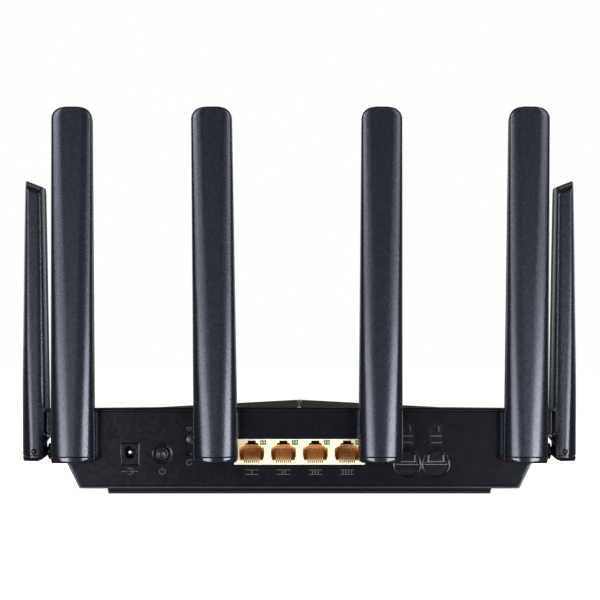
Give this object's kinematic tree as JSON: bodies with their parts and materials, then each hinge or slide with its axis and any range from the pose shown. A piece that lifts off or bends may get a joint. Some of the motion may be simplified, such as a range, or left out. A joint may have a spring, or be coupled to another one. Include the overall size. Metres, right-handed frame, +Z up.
{
  "type": "wireless router",
  "caption": "Low wedge-shaped router with folding paddle antennas on its rear and sides, network ports, power inlet, card slots and push buttons on the rear panel.",
  "frame": {"origin": "centre of the footprint of the whole object, on the plane under the rubber feet", "axes": "+Z up, -Y towards the side with the ports and the rear antennas, +X to the right when looking at the ports"},
  "size_m": [0.2884, 0.1657, 0.1925],
  "materials": {
    "cover": "fine spark-eroded satin black",
    "inlay": "glossy light grey inlay",
    "case": "fine textured matt black",
    "panel": "fine textured matt black",
    "lens": "translucent white light guide",
    "rubber": "matt black rubber",
    "steel": "nickel-plated steel",
    "board": "green glass-fibre circuit board",
    "radiator": "glass-fibre antenna board with copper tracks",
    "shield": "tinned shielding can",
    "ivory": "ivory nylon connector housing",
    "gold": "gold-plated spring contacts",
    "connector": "black nylon connector",
    "button": "satin black button cap",
    "switch": "black moulded switch body",
    "antenna": "charcoal satin with a fine grain",
    "cable": "grey coaxial cable jacket"
  },
  "bodies": {
    "case": {"top_cover": "cover", "spine_strip": "inlay", "bottom_case": "case", "rear_panel": "panel", "light_guide": "lens", "rear_foot": "rubber", "front_foot": "rubber", "case_screw_1": "steel", "case_screw_2": "steel", "case_screw_3": "steel", "case_screw_4": "steel", "dc_pin": "steel", "main_board": "board", "button_board": "board", "modem_module": "shield", "wifi_shield": "shield", "sim_socket_1": "shield", "sim_socket_2": "shield", "port_block": "ivory", "port_contacts_1": "gold", "port_contacts_2": "gold", "port_contacts_3": "gold", "port_contacts_4": "gold", "dc_jack": "connector", "power_switch": "switch", "wps_switch": "switch", "reset_switch": "switch", "antenna_lead_1": "cable", "antenna_lead_2": "cable", "antenna_lead_3": "cable", "antenna_lead_4": "cable", "antenna_lead_5": "cable", "antenna_lead_6": "cable"},
    "rear_antenna_1_base": {"rear_antenna_1_knuckle": "antenna"},
    "rear_antenna_1_arm": {"rear_antenna_1_blade": "antenna", "rear_antenna_1_radiator": "radiator", "rear_antenna_1_pin": "steel"},
    "rear_antenna_2_base": {"rear_antenna_2_knuckle": "antenna"},
    "rear_antenna_2_arm": {"rear_antenna_2_blade": "antenna", "rear_antenna_2_radiator": "radiator", "rear_antenna_2_pin": "steel"},
    "rear_antenna_3_base": {"rear_antenna_3_knuckle": "antenna"},
    "rear_antenna_3_arm": {"rear_antenna_3_blade": "antenna", "rear_antenna_3_radiator": "radiator", "rear_antenna_3_pin": "steel"},
    "rear_antenna_4_base": {"rear_antenna_4_knuckle": "antenna"},
    "rear_antenna_4_arm": {"rear_antenna_4_blade": "antenna", "rear_antenna_4_radiator": "radiator", "rear_antenna_4_pin": "steel"},
    "side_antenna_left_base": {"side_antenna_left_knuckle": "antenna"},
    "side_antenna_left_arm": {"side_antenna_left_blade": "antenna", "side_antenna_left_radiator": "radiator", "side_antenna_left_pin": "steel"},
    "side_antenna_right_base": {"side_antenna_right_knuckle": "antenna"},
    "side_antenna_right_arm": {"side_antenna_right_blade": "antenna", "side_antenna_right_radiator": "radiator", "side_antenna_right_pin": "steel"},
    "power_button": {"power_button": "button"},
    "wps_button": {"wps_button": "button"},
    "reset_button": {"reset_button": "button"}
  },
  "joints": [
    {"name": "rear_antenna_1_swivel", "type": "hinge", "parent": "case", "child": "rear_antenna_1_base", "pos_m": [-0.1125, -0.07615, 0.0209], "axis": [0, 1, 0], "range_deg": [-80, 15]},
    {"name": "rear_antenna_1_fold", "type": "hinge", "parent": "rear_antenna_1_base", "child": "rear_antenna_1_arm", "pos_m": [-0.1125, -0.07615, 0.0209], "axis": [1, 0, 0.0017], "range_deg": [0, 90]},
    {"name": "rear_antenna_2_swivel", "type": "hinge", "parent": "case", "child": "rear_antenna_2_base", "pos_m": [-0.04155, -0.07615, 0.0209], "axis": [0, 1, 0], "range_deg": [-15, 18]},
    {"name": "rear_antenna_2_fold", "type": "hinge", "parent": "rear_antenna_2_base", "child": "rear_antenna_2_arm", "pos_m": [-0.04155, -0.07615, 0.0209], "axis": [0.9999, 0, 0.0122], "range_deg": [0, 90]},
    {"name": "rear_antenna_3_swivel", "type": "hinge", "parent": "case", "child": "rear_antenna_3_base", "pos_m": [0.0403, -0.07615, 0.0209], "axis": [0, 1, 0], "range_deg": [-18, 15]},
    {"name": "rear_antenna_3_fold", "type": "hinge", "parent": "rear_antenna_3_base", "child": "rear_antenna_3_arm", "pos_m": [0.0403, -0.07615, 0.0209], "axis": [1, 0, -0.0035], "range_deg": [0, 90]},
    {"name": "rear_antenna_4_swivel", "type": "hinge", "parent": "case", "child": "rear_antenna_4_base", "pos_m": [0.1125, -0.07615, 0.0209], "axis": [0, 1, 0], "range_deg": [-15, 80]},
    {"name": "rear_antenna_4_fold", "type": "hinge", "parent": "rear_antenna_4_base", "child": "rear_antenna_4_arm", "pos_m": [0.1125, -0.07615, 0.0209], "axis": [1, 0, -0.0087], "range_deg": [0, 90]},
    {"name": "side_antenna_left_swivel", "type": "hinge", "parent": "case", "child": "side_antenna_left_base", "pos_m": [-0.1375, -0.01015, 0.0194], "axis": [1, 0, 0], "range_deg": [-90, 90]},
    {"name": "side_antenna_left_fold", "type": "hinge", "parent": "side_antenna_left_base", "child": "side_antenna_left_arm", "pos_m": [-0.1375, -0.01015, 0.0194], "axis": [0, -1, 0], "range_deg": [0, 90]},
    {"name": "side_antenna_right_swivel", "type": "hinge", "parent": "case", "child": "side_antenna_right_base", "pos_m": [0.1375, -0.01015, 0.0194], "axis": [1, 0, 0], "range_deg": [-90, 90]},
    {"name": "side_antenna_right_fold", "type": "hinge", "parent": "side_antenna_right_base", "child": "side_antenna_right_arm", "pos_m": [0.1375, -0.01015, 0.0194], "axis": [0, 1, 0], "range_deg": [0, 90]},
    {"name": "power_button_press", "type": "slide", "parent": "case", "child": "power_button", "axis": [0, 1, 0], "range_m": [0, 0.0018], "stiffness_N_per_m": 450, "springref_m": -0.0005},
    {"name": "wps_button_press", "type": "slide", "parent": "case", "child": "wps_button", "axis": [0, 1, 0], "range_m": [0, 0.0005], "stiffness_N_per_m": 900, "springref_m": -0.0005},
    {"name": "reset_button_press", "type": "slide", "parent": "case", "child": "reset_button", "axis": [0, 1, 0], "range_m": [0, 0.0005], "stiffness_N_per_m": 900, "springref_m": -0.0005}
  ]
}
